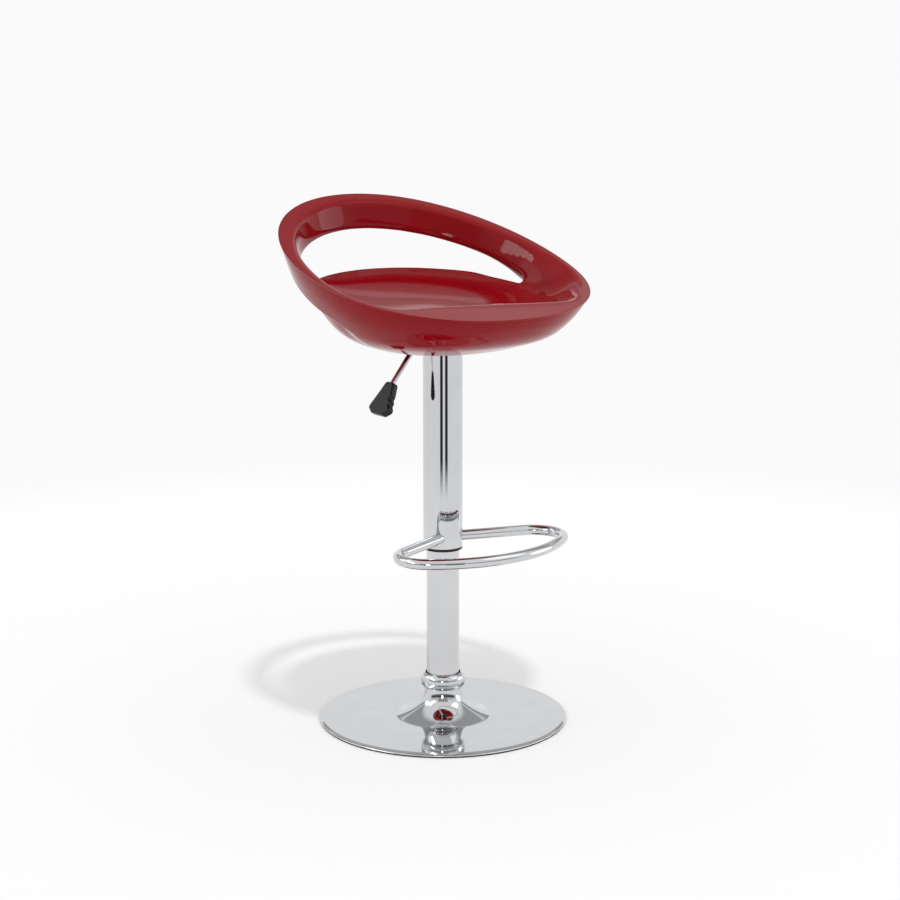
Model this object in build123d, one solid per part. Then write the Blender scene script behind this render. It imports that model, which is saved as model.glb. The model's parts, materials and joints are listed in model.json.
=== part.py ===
from build123d import *
import math
import os

# Adjustable swivel stool, in millimetres, +Z up, front towards -Y, lever on the -X side.
# The origin is on the floor at the centre of the round base.

# Round base
base_radius = 190.0
floor_ring_height = 2.0
floor_ring_width = 9.0
floor_ring_inset = 1.0
cover_sheet = 1.2
cover_lip = 0.9
cover_roll = 6.0
cover_roll_share = 0.28
cover_edge_rise = 2.9
cover_cone_rise = 0.5
cover_bore = 12.0
hub_flat_radius = 50.0
weight_gap = 0.2
weight_inset = 8.0
weight_bore = 26.0
weight_floor_gap = 1.2
flange_radius = 42.0
flange_thickness = 4.0
screw_count = 4
screw_circle = 34.0
screw_radius = 3.0
screw_head_radius = 5.0
screw_head_height = 3.2
screw_hole_gap = 0.15
screw_end_gap = 1.0
bell_radius = 47.5
bell_skirt = 13.0
bell_height = 43.6
bell_wall = 1.5
bell_tube_gap = 0.6
collar_height = 24.0
collar_bulge = 33.9
collar_bulge_share = 0.48
collar_end_width = 1.8
collar_gap = 0.3

# Column
tube_radius = 25.0
tube_wall = 1.5
tube_length = 458.6
sleeve_radius = 30.0
sleeve_wall = 1.5
sleeve_bottom = 272.0
sleeve_length = 298.0
bush_flange = 4.0
bush_flange_inset = 0.4
bush_length = 40.0
sleeve_ring_height = 12.0
top_bush_length = 28.0
running_gap = 0.08
seat_gap = 0.02

# Thrust bearing at the foot of the piston rod
plate_offset = 17.4
plate_thickness = 5.0
plate_bore_gap = 1.2
race_thickness = 2.0
race_radius = 14.0
race_bore_gap = 1.0
ball_count = 8
ball_radius = 1.5
ball_circle = 10.0
ball_gap = 0.05
cage_thickness = 0.8
cage_margin = 1.3
cage_hole_gap = 0.1
washer_gap = 0.3
washer_thickness = 1.3
washer_radius = 9.0
clip_thickness = 1.4
clip_radius = 8.0
clip_groove = 0.8
rod_tail = 3.0
rod_shoulder_radius = 8.0
rod_shoulder_height = 3.0
stop_height = 8.0
stop_radius = 12.0

# Gas spring
rod_radius = 5.0
piston_bottom = 292.0
piston_height = 15.0
seal_height = 3.0
seal_depth = 1.6
cylinder_radius = 14.0
cylinder_wall = 1.6
cylinder_bottom = 118.0
gland_height = 20.0
cylinder_plug = 24.0
cylinder_top_rise = 4.0
taper_drop = 0.7
button_radius = 4.0
button_rise = 5.7
button_sunk = 12.0
button_room = 6.0

# Lever housing and seat plate
socket_radius = 20.0
socket_height = 36.0
housing_front = 34.0
housing_back = 46.0
housing_half_width = 24.0
housing_height = 24.0
housing_sheet = 2.0
housing_bore_gap = 0.3
plate_half = 59.0
plate_corner = 18.0
seat_plate_sheet = 3.0
bolt_spacing = 46.0
bolt_radius = 3.0
bolt_hole_gap = 0.3
bolt_head_flat = 5.0
bolt_head_height = 4.0
bolt_thread_length = 15.0
bolt_washer_radius = 7.0
bolt_washer_thickness = 1.5
insert_radius = 4.5
insert_length = 16.0
insert_gap = 0.05
boss_radius = 9.0
boss_height = 19.0

# Lever
pivot_reach = 30.0
pivot_rise = 14.0
pin_radius = 2.5
pin_overhang = 1.5
hub_radius = 6.5
hub_half_length = 9.0
lever_radius = 4.0
lever_inner_reach = 8.0
lever_elbow_reach = 52.9
lever_elbow_radius = 12.0
lever_end_reach = 102.3
lever_end_drop = 60.2
handle_top_reach = 97.6
handle_top_drop = 54.8
handle_length = 49.0
handle_lean = 30.3
handle_top_half = 7.5
handle_bottom_half = 22.5
handle_shoulder = 42.0
handle_tip_half = 12.0
handle_thickness = 12.0
handle_corner = 4.0
handle_edge = 1.4
grip_count = 2
grip_pitch = 10.0
grip_start = 24.5
grip_radius = 6.0
grip_depth = 2.0

# Footrest
footrest_radius = 8.0
footrest_wall = 1.5
footrest_height = 288.7
footrest_half = 175.9
footrest_corner_reach = 76.3
footrest_bar_reach = 11.0
footrest_front_reach = 173.8
footrest_bend = 43.8
footrest_start = 15.0

# Seat
rim_half = 233.7
rim_front = 193.0
rim_back = 243.5
rim_centre = -15.5
rim_front_rise = 64.3
rim_back_rise = 215.5
rim_sag = 11.7
rim_cap = 20.0
rim_cap_flare = 3.0
seat_wall = 4.0
dish_wall = 4.5
parting_drop = 5.0
hoop_depth = 46.0
window_floor = 77.5
window_floor_slope = 0.10
window_end = 46.0
window_round = 12.0
hollow_level = 65.5
hollow_slope = 0.08
recess_radius = 84.0
recess_depth = 22.5
recess_wall = 3.5
loop_points = 16

# Outside of the bowl, from the bottom up:
# half width, front reach and back reach as shares of the rim's, centre reach,
# then the rise at the front and at the back as shares of the rim's rises,
# and how much of the wall's thickness stands upwards there.
bowl_rows = [
    (0.230, 0.278, 0.164, 9.5, 0.0, 0.0, 1.0),
    (0.340, 0.405, 0.253, 9.5, 0.030, 0.009, 1.0),
    (0.450, 0.520, 0.342, 9.5, 0.098, 0.029, 1.0),
    (0.552, 0.632, 0.423, 9.5, 0.202, 0.060, 1.0),
    (0.693, 0.788, 0.571, 6.5, 0.327, 0.137, 1.0),
    (0.834, 0.886, 0.731, -4.0, 0.555, 0.360, 0.0),
    (0.937, 0.943, 0.895, -13.0, 0.740, 0.626, 0.0),
    (0.982, 0.979, 0.961, -15.5, 0.900, 0.840, 0.0),
]
# Inside of the dish: the same without the last, then the squareness of the front and of the back.
dish_rows = [
    (0.120, 0.075, 0.120, -10.0, 0.890, 0.266, 2.2, 2.05),
    (0.280, 0.200, 0.260, -16.0, 0.893, 0.270, 2.2, 2.05),
    (0.450, 0.318, 0.410, -22.0, 0.907, 0.285, 2.4, 2.05),
    (0.612, 0.425, 0.554, -27.0, 0.941, 0.327, 2.6, 2.05),
    (0.720, 0.505, 0.690, -33.0, 0.985, 0.385, 2.9, 2.00),
    (0.790, 0.562, 0.800, -40.0, 1.040, 0.480, 3.3, 1.95),
    (0.830, 0.598, 0.860, -46.0, 1.100, 0.640, 3.8, 1.88),
]
dish_rim = (0.933, 0.663, 0.906, -48.0, 4.5, 1.7)
dish_cap = (0.969, 0.694, 0.924, -48.0, 4.5, 1.7)
dish_cap_rise = 30.0
rim_front_power = 2.2
rim_back_power = 2.05
cutter_reach = 400.0
cutter_margin = 100.0
cutter_height = 200.0
# Flare of the bell above its skirt: how far out and how far up, as shares.
bell_flare = [(1.0, 0.0), (0.78, 0.12), (0.53, 0.28), (0.33, 0.46), (0.18, 0.66), (0.07, 0.85), (0.0, 1.0)]

# Heights that follow from the sizes above
hub_top = floor_ring_height + cover_edge_rise + cover_cone_rise
hub_under = hub_top - cover_sheet
tube_bottom = hub_top + flange_thickness
tube_top = tube_bottom + tube_length
tube_bore = tube_radius - tube_wall
bell_top = hub_top + bell_height
bearing_plate_bottom = tube_bottom + plate_offset
bearing_plate_top = bearing_plate_bottom + plate_thickness
lower_race_top = bearing_plate_top + race_thickness
ball_level = lower_race_top + ball_gap + ball_radius
upper_race_bottom = ball_level + ball_radius + ball_gap
upper_race_top = upper_race_bottom + race_thickness
shoulder_top = upper_race_top + rod_shoulder_height
washer_top = bearing_plate_bottom - washer_gap
washer_bottom = washer_top - washer_thickness
clip_bottom = washer_bottom - clip_thickness
rod_bottom = clip_bottom - rod_tail
cylinder_bore = cylinder_radius - cylinder_wall
sleeve_bore = sleeve_radius - sleeve_wall
sleeve_top = sleeve_bottom + sleeve_length
socket_bottom = sleeve_top - socket_height
cylinder_top = sleeve_top + cylinder_top_rise
housing_top = sleeve_top + housing_height
ceiling = housing_top + seat_plate_sheet
pivot_x = -pivot_reach
pivot_z = sleeve_top + pivot_rise
seat_level = ceiling - recess_depth
rim_front_z = seat_level + rim_front_rise
rim_back_z = seat_level + rim_back_rise

BOTTOM = (Align.CENTER, Align.CENTER, Align.MIN)


def disc(radius, bottom, top):
    return Pos(0, 0, bottom) * Cylinder(radius, top - bottom, align=BOTTOM)


def ring(outer, inner, bottom, top):
    return disc(outer, bottom, top) - disc(inner, bottom, top)


def lathe(*edges):
    return revolve(Plane.XZ * make_face(list(edges)), Axis.Z)


def polygon_lathe(points):
    return lathe(Polyline(*points, close=True))


def bar(radius, start, end):
    along = Vector(*end) - Vector(*start)
    return Plane(origin=start, z_dir=along) * Cylinder(radius, along.length, align=BOTTOM)


def around(count, circle, first_angle=0.0):
    return [
        (circle * math.cos(angle), circle * math.sin(angle))
        for angle in (first_angle + 2 * math.pi * k / count for k in range(count))
    ]


def corners(distance):
    return [(x, y) for x in (-distance, distance) for y in (-distance, distance)]


def group(solids):
    return Compound([solid for shape in solids for solid in shape.solids()])


parts = {}

# Base: rubber ring, pressed cover, weight, flange and screws
roll_radius = base_radius - cover_roll
cover_edge_top = floor_ring_height + cover_edge_rise
floor_ring_outer = base_radius - floor_ring_inset
parts["floor_ring"] = ring(floor_ring_outer, base_radius - floor_ring_width, 0, floor_ring_height)
lip_top = (base_radius, floor_ring_height + cover_lip)
roll_top = (roll_radius, cover_edge_top)
roll_middle = (
    base_radius - cover_roll_share * cover_roll,
    roll_top[1] - cover_roll_share * (roll_top[1] - lip_top[1]),
)
cover = lathe(
    ThreePointArc(lip_top, roll_middle, roll_top),
    Polyline(
        roll_top,
        (hub_flat_radius, hub_top),
        (cover_bore, hub_top),
        (cover_bore, hub_under),
        (hub_flat_radius, hub_under),
        (roll_radius, cover_edge_top - cover_sheet),
        (base_radius - floor_ring_width, floor_ring_height),
        (base_radius, floor_ring_height),
        lip_top,
    ),
)
weight_radius = roll_radius - weight_inset
cone_share = (weight_radius - hub_flat_radius) / (roll_radius - hub_flat_radius)
weight_edge_top = hub_under - cone_share * cover_cone_rise - weight_gap
weight = polygon_lathe(
    [
        (weight_bore, weight_floor_gap),
        (weight_radius, weight_floor_gap),
        (weight_radius, weight_edge_top),
        (hub_flat_radius, hub_under - weight_gap),
        (weight_bore, hub_under - weight_gap),
    ]
)
flange = ring(flange_radius, cover_bore, hub_top, tube_bottom)
base_screws = []
for x, y in around(screw_count, screw_circle, math.pi / 4):
    hole = Pos(x, y) * disc(screw_radius + screw_hole_gap, 0, tube_bottom)
    cover -= hole
    weight -= hole
    flange -= hole
    shank = disc(screw_radius, weight_floor_gap + screw_end_gap, tube_bottom)
    head = disc(screw_head_radius, tube_bottom, tube_bottom + screw_head_height)
    base_screws.append(Pos(x, y) * (shank + head))
parts["base_cover"] = cover
parts["base_weight"] = weight
parts["foot_flange"] = flange
parts["base_screws"] = group(base_screws)

# Flared bell on a short skirt, and bead collar, round the foot of the tube
neck_radius = tube_radius + bell_tube_gap + bell_wall
flare_bottom = hub_top + bell_skirt
bell_points = [
    (neck_radius + (bell_radius - neck_radius) * out, flare_bottom + (bell_top - flare_bottom) * up)
    for out, up in bell_flare
]
bell_inside = [(radius - bell_wall, height) for radius, height in bell_points]
parts["base_bell"] = lathe(
    Spline(*bell_points),
    Line(bell_points[-1], bell_inside[-1]),
    Spline(*reversed(bell_inside)),
    Polyline(
        bell_inside[0],
        (bell_radius - bell_wall, hub_top),
        (bell_radius, hub_top),
        bell_points[0],
    ),
)
collar_bore = tube_radius + collar_gap
collar_top = bell_top + collar_height
collar_end = collar_bore + collar_end_width
collar_middle = (collar_bulge, bell_top + collar_bulge_share * collar_height)
parts["base_collar"] = lathe(
    Polyline(
        (collar_end, collar_top),
        (collar_bore, collar_top),
        (collar_bore, bell_top),
        (collar_end, bell_top),
    ),
    Spline((collar_end, bell_top), collar_middle, (collar_end, collar_top)),
)

# Fixed lower tube and what is mounted in it
parts["lower_tube"] = ring(tube_radius, tube_bore, tube_bottom, tube_top)
parts["bearing_plate"] = ring(
    tube_bore - seat_gap, rod_radius + plate_bore_gap, bearing_plate_bottom, bearing_plate_top
)
parts["lower_race"] = ring(race_radius, rod_radius + race_bore_gap, bearing_plate_top, lower_race_top)
parts["top_bush"] = ring(
    tube_bore - seat_gap, cylinder_radius + running_gap, tube_top - top_bush_length, tube_top
)

# Ball cage and balls between the races
cage = ring(
    ball_circle + ball_radius + cage_margin,
    ball_circle - ball_radius - cage_margin,
    ball_level - cage_thickness / 2,
    ball_level + cage_thickness / 2,
)
balls = []
for x, y in around(ball_count, ball_circle):
    balls.append(Pos(x, y, ball_level) * Sphere(ball_radius))
    cage -= Pos(x, y) * disc(ball_radius + cage_hole_gap, 0, tube_top)
parts["ball_cage"] = cage
parts["bearing_balls"] = group(balls)

# Piston rod, turning on the bearing
rod = disc(rod_radius, rod_bottom, piston_bottom + piston_height)
rod += disc(rod_shoulder_radius, upper_race_top, shoulder_top)
rod -= ring(clip_radius, rod_radius - clip_groove, clip_bottom, washer_bottom)
piston_top = piston_bottom + piston_height
piston_outer = cylinder_bore - running_gap
seal_bottom = piston_bottom + (piston_height - seal_height) / 2
seal_bore = piston_outer - seal_depth
piston = ring(piston_outer, rod_radius + seat_gap, piston_bottom, piston_top)
piston -= ring(cylinder_bore, seal_bore, seal_bottom, seal_bottom + seal_height)
parts["piston_rod"] = rod
parts["piston"] = piston
parts["piston_seal"] = ring(
    cylinder_bore - running_gap / 2, seal_bore + seat_gap, seal_bottom, seal_bottom + seal_height
)
parts["upper_race"] = ring(race_radius, rod_radius + seat_gap, upper_race_bottom, upper_race_top)
parts["rod_washer"] = ring(washer_radius, rod_radius + seat_gap, washer_bottom, washer_top)
parts["rod_clip"] = ring(clip_radius, rod_radius - clip_groove + seat_gap, clip_bottom, washer_bottom)
parts["bump_stop"] = ring(stop_radius, rod_radius + seat_gap, shoulder_top, shoulder_top + stop_height)

# Gas cylinder with its tapered head and release button
taper_top_radius = cylinder_radius - taper_drop * (cylinder_top - socket_bottom) / socket_height
plug_bottom = cylinder_top - cylinder_plug
cylinder = polygon_lathe(
    [
        (0, plug_bottom),
        (cylinder_bore, plug_bottom),
        (cylinder_bore, cylinder_bottom),
        (cylinder_radius, cylinder_bottom),
        (cylinder_radius, socket_bottom),
        (taper_top_radius, cylinder_top),
        (0, cylinder_top),
    ]
)
button_top = cylinder_top + button_rise
button_bottom = cylinder_top - button_sunk
cylinder -= disc(button_radius + running_gap, button_bottom - button_room, cylinder_top)
parts["gas_cylinder"] = cylinder
parts["valve_button"] = disc(button_radius, button_bottom, button_top)
parts["cylinder_gland"] = ring(
    cylinder_bore - seat_gap, rod_radius + running_gap, cylinder_bottom, cylinder_bottom + gland_height
)

# Sliding sleeve, its bush and the socket that holds the gas cylinder's taper
parts["sleeve"] = ring(sleeve_radius, sleeve_bore, sleeve_bottom, sleeve_top)
bush_bore = tube_radius + running_gap
bush = ring(sleeve_radius - bush_flange_inset, bush_bore, sleeve_bottom - bush_flange, sleeve_bottom)
bush += ring(sleeve_bore - seat_gap, bush_bore, sleeve_bottom, sleeve_bottom + bush_length)
parts["sleeve_bush"] = bush
parts["sleeve_ring"] = ring(
    sleeve_bore - seat_gap, socket_radius + seat_gap, sleeve_top - sleeve_ring_height, sleeve_top
)
parts["taper_socket"] = polygon_lathe(
    [
        (cylinder_radius + seat_gap, socket_bottom),
        (socket_radius, socket_bottom),
        (socket_radius, sleeve_top),
        (cylinder_radius - taper_drop + seat_gap, sleeve_top),
    ]
)

# Lever housing, open towards the lever, with the pivot pin across it
housing_length = housing_front + housing_back
housing_place = Pos((housing_front - housing_back) / 2, 0, sleeve_top)
housing = housing_place * Box(housing_length, 2 * housing_half_width, housing_height, align=BOTTOM)
pocket = Box(housing_length, 2 * (housing_half_width - housing_sheet), housing_height, align=BOTTOM)
housing -= housing_place * Pos(-housing_sheet, 0, housing_sheet) * pocket
housing -= disc(cylinder_radius + housing_bore_gap, socket_bottom, housing_top)
pin_half = housing_half_width + pin_overhang
pin_hole = bar(pin_radius + running_gap, (pivot_x, -pin_half, pivot_z), (pivot_x, pin_half, pivot_z))
parts["lever_housing"] = housing - pin_hole
parts["pivot_pin"] = bar(pin_radius, (pivot_x, -pin_half, pivot_z), (pivot_x, pin_half, pivot_z))

# Seat plate, bolts, washers and threaded inserts
plate_outline = RectangleRounded(2 * plate_half, 2 * plate_half, plate_corner)
seat_plate = Pos(0, 0, housing_top) * extrude(plate_outline, seat_plate_sheet)
bolts = []
washers = []
inserts = []
washer_low = housing_top - bolt_washer_thickness
head_low = washer_low - bolt_head_height
bolt_top = ceiling + bolt_thread_length
for x, y in corners(bolt_spacing):
    place = Pos(x, y)
    seat_plate -= place * disc(bolt_radius + bolt_hole_gap, housing_top, ceiling)
    hexagon = RegularPolygon(bolt_head_flat, 6, major_radius=False)
    head = Pos(0, 0, head_low) * extrude(hexagon, bolt_head_height)
    bolts.append(place * (head + disc(bolt_radius, washer_low, bolt_top)))
    washers.append(place * ring(bolt_washer_radius, bolt_radius + bolt_hole_gap, washer_low, housing_top))
    inserts.append(place * ring(insert_radius, bolt_radius + insert_gap, ceiling, ceiling + insert_length))
parts["seat_plate"] = seat_plate
parts["seat_bolts"] = group(bolts)
parts["bolt_washers"] = group(washers)
parts["threaded_inserts"] = group(inserts)

# Lever: bent rod on a hub, and the paddle handle on its end
lever_path = FilletPolyline(
    (lever_inner_reach, 0, pivot_z),
    (-lever_elbow_reach, 0, pivot_z),
    (-lever_end_reach, 0, pivot_z - lever_end_drop),
    radius=lever_elbow_radius,
)
lever_section = Plane(origin=lever_path @ 0, z_dir=lever_path % 0) * Circle(lever_radius)
lever_rod = sweep(lever_section, path=lever_path)
hub_ends = [(pivot_x, side * hub_half_length, pivot_z) for side in (-1, 1)]
parts["lever_rod"] = lever_rod + bar(hub_radius, *hub_ends) - pin_hole
lean = math.radians(handle_lean)
handle_down = Vector(-math.sin(lean), 0, -math.cos(lean))
handle_plane = Plane(
    origin=(-handle_top_reach, 0, pivot_z - handle_top_drop),
    x_dir=(0, -1, 0),
    z_dir=Vector(0, -1, 0).cross(handle_down),
)
handle_points = [
    (-handle_top_half, 0),
    (handle_top_half, 0),
    (handle_bottom_half, handle_shoulder),
    (handle_tip_half, handle_length),
    (-handle_tip_half, handle_length),
    (-handle_bottom_half, handle_shoulder),
]
handle_outline = make_face(Polyline(*handle_points, close=True))
handle_outline = fillet(handle_outline.vertices(), handle_corner)
handle = extrude(handle_outline, handle_thickness / 2, both=True)
end_faces = [handle.faces().sort_by(Axis.Z)[0], handle.faces().sort_by(Axis.Z)[-1]]
handle = chamfer([edge for face in end_faces for edge in face.edges()], handle_edge)
flare = (handle_bottom_half - handle_top_half) / handle_shoulder
for k in range(grip_count):
    down = grip_start + k * grip_pitch
    side = handle_top_half + flare * down
    handle -= Pos(side + grip_radius - grip_depth, down) * Cylinder(grip_radius, handle_thickness)
parts["lever_handle"] = handle_plane * handle - lever_rod

# Footrest: a bent tube whose two ends are welded to the sleeve
arc_centre = (footrest_front_reach**2 - footrest_half**2 - footrest_corner_reach**2) / (
    2 * (footrest_front_reach - footrest_corner_reach)
)
arc_radius = footrest_front_reach - arc_centre
bar_run = Vector(footrest_half, footrest_corner_reach - footrest_bar_reach)
bar_way = bar_run.normalized()
bar_side = Vector(-bar_way.Y, bar_way.X)
bar_origin = Vector(0, footrest_bar_reach)
bend_line = bar_origin + bar_side * footrest_bend
to_arc = bend_line - Vector(0, arc_centre)
along = to_arc.dot(bar_way)
reach_squared = along**2 - to_arc.dot(to_arc) + (arc_radius - footrest_bend) ** 2
bend_centre = bend_line + bar_way * (math.sqrt(reach_squared) - along)
bend_start = bend_centre - bar_side * footrest_bend
bend_out = (bend_centre - Vector(0, arc_centre)).normalized()
bend_end = bend_centre + bend_out * footrest_bend
bend_middle = bend_centre + (bend_out - bar_side).normalized() * footrest_bend
bar_start = bar_origin + bar_way * (footrest_start / bar_way.X)


def on_footrest(point, side=1):
    return (side * point.X, -point.Y, footrest_height)


front_point = Vector(0, footrest_front_reach)
footrest_path = Wire(
    [
        Edge.make_line(on_footrest(bar_start), on_footrest(bend_start)),
        Edge.make_three_point_arc(
            on_footrest(bend_start), on_footrest(bend_middle), on_footrest(bend_end)
        ),
        Edge.make_three_point_arc(
            on_footrest(bend_end), on_footrest(front_point), on_footrest(bend_end, -1)
        ),
        Edge.make_three_point_arc(
            on_footrest(bend_end, -1), on_footrest(bend_middle, -1), on_footrest(bend_start, -1)
        ),
        Edge.make_line(on_footrest(bend_start, -1), on_footrest(bar_start, -1)),
    ]
)
footrest_plane = Plane(origin=footrest_path @ 0, z_dir=footrest_path % 0)
footrest_section = footrest_plane * (Circle(footrest_radius) - Circle(footrest_radius - footrest_wall))
parts["footrest"] = sweep(footrest_section, path=footrest_path) - disc(sleeve_radius, 0, sleeve_top)


# Seat: two moulded shells that meet just below the rim
def rim_share(reach):
    return (rim_front - reach) / (rim_front + rim_back)


def chord_z(reach):
    return rim_front_z + (rim_back_z - rim_front_z) * rim_share(reach)


def rim_z(reach):
    share = rim_share(reach)
    return chord_z(reach) - 4 * rim_sag * share * (1 - share)


def tilt(front_z, back_z, front, back):
    return lambda reach: front_z + (back_z - front_z) * (front - reach) / (front + back)


def loop(half, front, back, centre, height, front_power, back_power):
    points = []
    for k in range(loop_points):
        angle = 2 * math.pi * k / loop_points
        ahead = math.cos(angle)
        aside = math.sin(angle)
        power = front_power if ahead > 0 else back_power
        length = front - centre if ahead > 0 else back + centre
        reach = centre + length * math.copysign(abs(ahead) ** (2 / power), ahead)
        x = half * math.copysign(abs(aside) ** (2 / power), aside)
        points.append((x, -reach, height(reach)))
    return Wire([Edge.make_spline(points, periodic=True)])


def bowl(inset):
    rows = []
    for half, front, back, centre, front_rise, back_rise, upright in bowl_rows:
        foot = seat_level + inset * upright
        heights = (foot + front_rise * rim_front_rise, foot + back_rise * rim_back_rise)
        slope = tilt(*heights, front * rim_front, back * rim_back)
        sizes = (half * rim_half - inset, front * rim_front - inset, back * rim_back - inset)
        rows.append(loop(*sizes, centre, slope, rim_front_power, rim_back_power))
    sizes = (rim_half - inset, rim_front - inset, rim_back - inset)
    rows.append(loop(*sizes, rim_centre, rim_z, rim_front_power, rim_back_power))
    sizes = [size + rim_cap_flare for size in sizes]
    cap = lambda reach: chord_z(reach) + rim_cap
    rows.append(loop(*sizes, rim_centre, cap, rim_front_power, rim_back_power))
    return Solid.make_loft(rows)


def dish(grow):
    rows = []
    for half, front, back, centre, front_rise, back_rise, front_power, back_power in dish_rows:
        foot = seat_level - grow
        heights = (foot + front_rise * rim_front_rise, foot + back_rise * rim_back_rise)
        slope = tilt(*heights, front * rim_front, back * rim_back)
        sizes = (half * rim_half + grow, front * rim_front + grow, back * rim_back + grow)
        rows.append(loop(*sizes, centre, slope, front_power, back_power))
    cap = lambda reach: chord_z(reach) + dish_cap_rise
    for row, height in ((dish_rim, rim_z), (dish_cap, cap)):
        half, front, back, centre, front_power, back_power = row
        sizes = (half * rim_half + grow, front * rim_front + grow, back * rim_back + grow)
        rows.append(loop(*sizes, centre, height, front_power, back_power))
    return Solid.make_loft(rows)


def slab(curve, corner_points):
    # A solid across the whole width: the curve, closed by straight lines through the corner points.
    ends = [curve @ 1, *[Vector(0, -reach, z) for reach, z in corner_points], curve @ 0]
    lines = [Edge.make_line(start, end) for start, end in zip(ends, ends[1:])]
    return extrude(Face(Wire([curve, *lines])), cutter_reach, dir=(1, 0, 0), both=True)


def level_curve(height, reaches):
    return Edge.make_spline([(0, -reach, height(reach)) for reach in reaches])


far = rim_back + cutter_margin
near = rim_front + cutter_margin
reaches = [near, rim_front / 2, 0.0, -rim_back / 2, -rim_back, -far]
high = rim_back_z + cutter_height
low = seat_level - cutter_height


def parting_z(reach):
    return rim_z(reach) - parting_drop


def hoop_z(reach):
    return rim_z(reach) - hoop_depth


def pan_z(reach):
    return seat_level + window_floor - window_floor_slope * reach


def hollow_z(reach):
    return seat_level + hollow_level - hollow_slope * reach


above_rim = slab(level_curve(rim_z, reaches), [(-far, high), (near, high)])
above_parting = slab(level_curve(parting_z, reaches), [(-far, high), (near, high)])
below_parting = slab(level_curve(parting_z, reaches), [(-far, low), (near, low)])
below_hollow = slab(
    Edge.make_line((0, -near, hollow_z(near)), (0, far, hollow_z(-far))), [(-far, low), (near, low)]
)
window_start = -(window_end + window_round)
window_reaches = [window_start, (window_start - rim_back) / 2, -rim_back, -far]
window_top = level_curve(hoop_z, window_reaches)
window_foot = Vector(0, -window_start, pan_z(window_start))
window_tip = Vector(0, window_end, (pan_z(window_start) + hoop_z(window_start)) / 2)
window_far = Vector(0, far, pan_z(-far))
window_edges = [
    window_top,
    Edge.make_line(window_top @ 1, window_far),
    Edge.make_line(window_far, window_foot),
    Edge.make_three_point_arc(window_foot, window_tip, window_top @ 0),
]
window = extrude(Face(Wire(window_edges)), cutter_reach, dir=(1, 0, 0), both=True)

outside = bowl(0.0)
inside = bowl(seat_wall)
dish_face = dish(0.0)
dish_under = dish(dish_wall)
recess_cup = disc(recess_radius + recess_wall, low, ceiling + recess_wall)
for x, y in corners(bolt_spacing):
    recess_cup += Pos(x, y) * disc(boss_radius, ceiling, ceiling + boss_height)
lower_shell = outside - above_parting
lower_shell -= inside - recess_cup
lower_shell -= window
lower_shell -= disc(recess_radius, low, ceiling)
for x, y in corners(bolt_spacing):
    lower_shell -= Pos(x, y) * disc(insert_radius + insert_gap, ceiling, ceiling + insert_length)
upper_shell = outside - above_rim
upper_shell -= dish_face
upper_shell -= window
upper_shell -= below_parting - inside
upper_shell -= below_hollow - dish_under
parts["seat_lower_shell"] = lower_shell
parts["seat_upper_shell"] = upper_shell

os.makedirs("parts", exist_ok=True)
for name, shape in parts.items():
    export_step(shape, "parts/" + name + ".step")
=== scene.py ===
import json
import math

import bmesh
import bpy
import numpy as np
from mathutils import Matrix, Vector


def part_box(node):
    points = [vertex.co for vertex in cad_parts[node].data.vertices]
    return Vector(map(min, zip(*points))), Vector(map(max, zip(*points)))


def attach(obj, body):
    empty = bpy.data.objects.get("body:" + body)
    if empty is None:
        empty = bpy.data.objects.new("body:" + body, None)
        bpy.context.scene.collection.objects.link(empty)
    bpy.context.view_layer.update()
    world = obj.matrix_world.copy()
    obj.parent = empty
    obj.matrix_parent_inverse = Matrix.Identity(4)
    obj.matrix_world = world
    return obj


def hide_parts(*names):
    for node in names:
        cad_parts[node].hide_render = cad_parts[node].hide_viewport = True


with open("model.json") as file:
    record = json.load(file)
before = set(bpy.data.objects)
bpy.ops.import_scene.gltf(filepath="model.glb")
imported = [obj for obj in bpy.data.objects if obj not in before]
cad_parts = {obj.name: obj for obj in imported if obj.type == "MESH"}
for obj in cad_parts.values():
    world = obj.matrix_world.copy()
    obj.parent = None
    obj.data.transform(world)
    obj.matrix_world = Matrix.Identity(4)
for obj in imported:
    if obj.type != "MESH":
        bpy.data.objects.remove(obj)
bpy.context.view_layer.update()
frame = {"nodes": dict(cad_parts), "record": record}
MM = 0.001

# Camera at the photograph's viewing angle
camera_azimuth = math.radians(-38.0)
camera_distance = 3000.0
camera_height = 1022.1
camera_pitch = math.radians(11.353)
camera_focal = 2031.05
image_size = 900.0
axis_column = 442.8
camera_back = Vector((math.sin(camera_azimuth), -math.cos(camera_azimuth), 0.0))
camera_right = Vector((math.cos(camera_azimuth), math.sin(camera_azimuth), 0.0))
camera_data = bpy.data.cameras.new("camera")
camera_data.sensor_width = 36.0
camera_data.lens = camera_focal * camera_data.sensor_width / image_size
camera = bpy.data.objects.new("camera", camera_data)
bpy.context.scene.collection.objects.link(camera)
camera.location = (camera_back * camera_distance + Vector((0, 0, camera_height))) * MM
look = -camera_back * math.cos(camera_pitch) - Vector((0, 0, math.sin(camera_pitch)))
look += camera_right * (image_size / 2 - axis_column) / camera_focal
camera.rotation_mode = "QUATERNION"
camera.rotation_quaternion = look.to_track_quat("-Z", "Y")
bpy.context.scene.camera = camera
bpy.context.scene.view_settings.view_transform = "Standard"


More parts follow.
